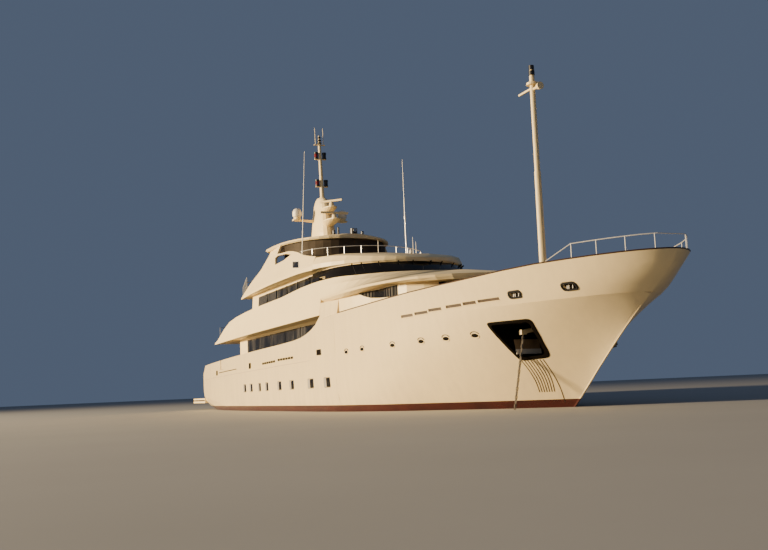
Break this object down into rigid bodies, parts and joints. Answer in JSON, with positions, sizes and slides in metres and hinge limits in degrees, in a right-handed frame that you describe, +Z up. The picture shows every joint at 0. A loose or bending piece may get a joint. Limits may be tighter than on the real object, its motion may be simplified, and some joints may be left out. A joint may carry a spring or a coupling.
{
  "type": "1:2 scale model of a motor yacht",
  "caption": "Motor yacht with raked bow, stepped superstructure, radar mast, foremast and stern platform.",
  "frame": {"origin": "amidships on the centreline at the waterline", "axes": "+X towards the bow, +Y to port, +Z up"},
  "size_m": [29, 5.8184, 11.5499],
  "materials": {
    "bottom": "dark red antifouling paint",
    "bronze": "machined bronze",
    "dark": "dark brown varnish",
    "dome": "white radome",
    "galvanised": "galvanised steel",
    "glass": "dark tinted glass",
    "paint": "cream gloss marine paint",
    "steel": "polished stainless steel"
  },
  "bodies": {
    "ship": {"hull": "paint", "bulwark_side_starboard": "paint", "bulwark_side_port": "paint", "bulwark_transom": "paint", "bulwark_bow": "paint", "cap_rail": "dark", "swim_platform": "paint", "main_deckhouse": "paint", "upper_deck": "paint", "upper_bulwark_starboard": "paint", "upper_bulwark_port": "paint", "bridge_brow": "paint", "forward_house": "paint", "sun_deck": "paint", "upper_deckhouse": "paint", "hardtop": "paint", "sun_deck_wing_starboard": "paint", "sun_deck_wing_port": "paint", "sun_deck_screen": "glass", "mast_tower": "paint", "satcom_dome_starboard": "dome", "satcom_dome_port": "dome", "mast_pole": "paint", "foremast": "paint", "bow_rail": "steel", "sun_deck_rail": "steel", "whip_aerial_aft": "dome", "whip_aerial_forward": "dome", "windlass_starboard": "steel", "windlass_port": "steel", "anchor_chain": "galvanised", "anchor_starboard": "galvanised", "anchor_port": "galvanised", "hatch_coaming": "paint", "shaft_line_starboard": "steel", "shaft_line_port": "steel", "thruster_pod": "bronze"},
    "garage_door": {"garage_door": "paint"},
    "saloon_door_starboard": {"saloon_door_starboard": "glass"},
    "saloon_door_port": {"saloon_door_port": "glass"},
    "upper_saloon_door_starboard": {"upper_saloon_door_starboard": "glass"},
    "upper_saloon_door_port": {"upper_saloon_door_port": "glass"},
    "wheelhouse_door_starboard": {"wheelhouse_door_starboard": "paint"},
    "wheelhouse_door_port": {"wheelhouse_door_port": "paint"},
    "boarding_gate_starboard": {"boarding_gate_starboard": "paint"},
    "boarding_gate_port": {"boarding_gate_port": "paint"},
    "hatch_lid": {"hatch_lid": "paint"},
    "propeller_starboard": {"propeller_starboard": "bronze"},
    "propeller_port": {"propeller_port": "bronze"},
    "rudder_starboard": {"rudder_starboard": "bottom"},
    "rudder_port": {"rudder_port": "bottom"},
    "stabiliser_starboard": {"stabiliser_starboard": "bottom"},
    "stabiliser_port": {"stabiliser_port": "bottom"},
    "radar_scanner_lower": {"radar_scanner_lower": "paint"},
    "radar_scanner_upper": {"radar_scanner_upper": "paint"},
    "thruster_propeller": {"thruster_propeller": "bronze"}
  },
  "joints": [
    {"name": "garage_door_hinge", "type": "hinge", "parent": "ship", "child": "garage_door", "pos_m": [-11.8825, 0, 1.3], "axis": [0, 1, 0], "range_deg": [0, 80]},
    {"name": "saloon_door_starboard_slide", "type": "slide", "parent": "ship", "child": "saloon_door_starboard", "axis": [0, -1, 0], "range_m": [0, 0.5]},
    {"name": "upper_saloon_door_starboard_slide", "type": "slide", "parent": "ship", "child": "upper_saloon_door_starboard", "axis": [0, -1, 0], "range_m": [0, 0.5]},
    {"name": "wheelhouse_door_starboard_hinge", "type": "hinge", "parent": "ship", "child": "wheelhouse_door_starboard", "pos_m": [2.5125, -2.0225, 3.25], "axis": [0, 0, 1], "range_deg": [0, 90]},
    {"name": "boarding_gate_starboard_hinge", "type": "hinge", "parent": "ship", "child": "boarding_gate_starboard", "pos_m": [-7.9875, -2.56838, 1.7], "axis": [0, 0, 1], "range_deg": [0, 90]},
    {"name": "propeller_starboard_spin", "type": "hinge", "parent": "ship", "child": "propeller_starboard", "pos_m": [-9.2, -1.15, -1.175], "axis": [1, 0, 0], "continuous": true},
    {"name": "rudder_starboard_steer", "type": "hinge", "parent": "ship", "child": "rudder_starboard", "pos_m": [-10.15, -1.15, -1.175], "axis": [0, 0, 1], "range_deg": [-35, 35]},
    {"name": "stabiliser_starboard_tilt", "type": "hinge", "parent": "ship", "child": "stabiliser_starboard", "pos_m": [0.75, -2.275, -0.975], "axis": [0, -0.8192, -0.5736], "range_deg": [-20, 20]},
    {"name": "saloon_door_port_slide", "type": "slide", "parent": "ship", "child": "saloon_door_port", "axis": [0, 1, 0], "range_m": [0, 0.5]},
    {"name": "upper_saloon_door_port_slide", "type": "slide", "parent": "ship", "child": "upper_saloon_door_port", "axis": [0, 1, 0], "range_m": [0, 0.5]},
    {"name": "wheelhouse_door_port_hinge", "type": "hinge", "parent": "ship", "child": "wheelhouse_door_port", "pos_m": [2.5125, 2.0225, 3.25], "axis": [0, 0, 1], "range_deg": [-90, 0]},
    {"name": "boarding_gate_port_hinge", "type": "hinge", "parent": "ship", "child": "boarding_gate_port", "pos_m": [-7.9875, 2.56838, 1.7], "axis": [0, 0, 1], "range_deg": [-90, 0]},
    {"name": "propeller_port_spin", "type": "hinge", "parent": "ship", "child": "propeller_port", "pos_m": [-9.2, 1.15, -1.175], "axis": [1, 0, 0], "continuous": true},
    {"name": "rudder_port_steer", "type": "hinge", "parent": "ship", "child": "rudder_port", "pos_m": [-10.15, 1.15, -1.175], "axis": [0, 0, 1], "range_deg": [-35, 35]},
    {"name": "stabiliser_port_tilt", "type": "hinge", "parent": "ship", "child": "stabiliser_port", "pos_m": [0.75, 2.275, -0.975], "axis": [0, 0.8192, -0.5736], "range_deg": [-20, 20]},
    {"name": "foredeck_hatch_hinge", "type": "hinge", "parent": "ship", "child": "hatch_lid", "pos_m": [9.685, 0.8, 2.12], "axis": [0, -1, 0], "range_deg": [0, 75]},
    {"name": "radar_lower_spin", "type": "hinge", "parent": "ship", "child": "radar_scanner_lower", "pos_m": [-2.06, 0, 6.52], "axis": [0, 0, 1], "continuous": true},
    {"name": "radar_upper_spin", "type": "hinge", "parent": "ship", "child": "radar_scanner_upper", "pos_m": [-2.29, 0, 6.98], "axis": [0, 0, 1], "continuous": true},
    {"name": "thruster_spin", "type": "hinge", "parent": "ship", "child": "thruster_propeller", "pos_m": [9.3, -0.02035, -0.725], "axis": [0, 1, 0], "continuous": true}
  ],
  "couplings": [
    {"joint": "rudder_port_steer", "follows": "rudder_starboard_steer", "ratio": 1},
    {"joint": "propeller_port_spin", "follows": "propeller_starboard_spin", "ratio": -1}
  ]
}
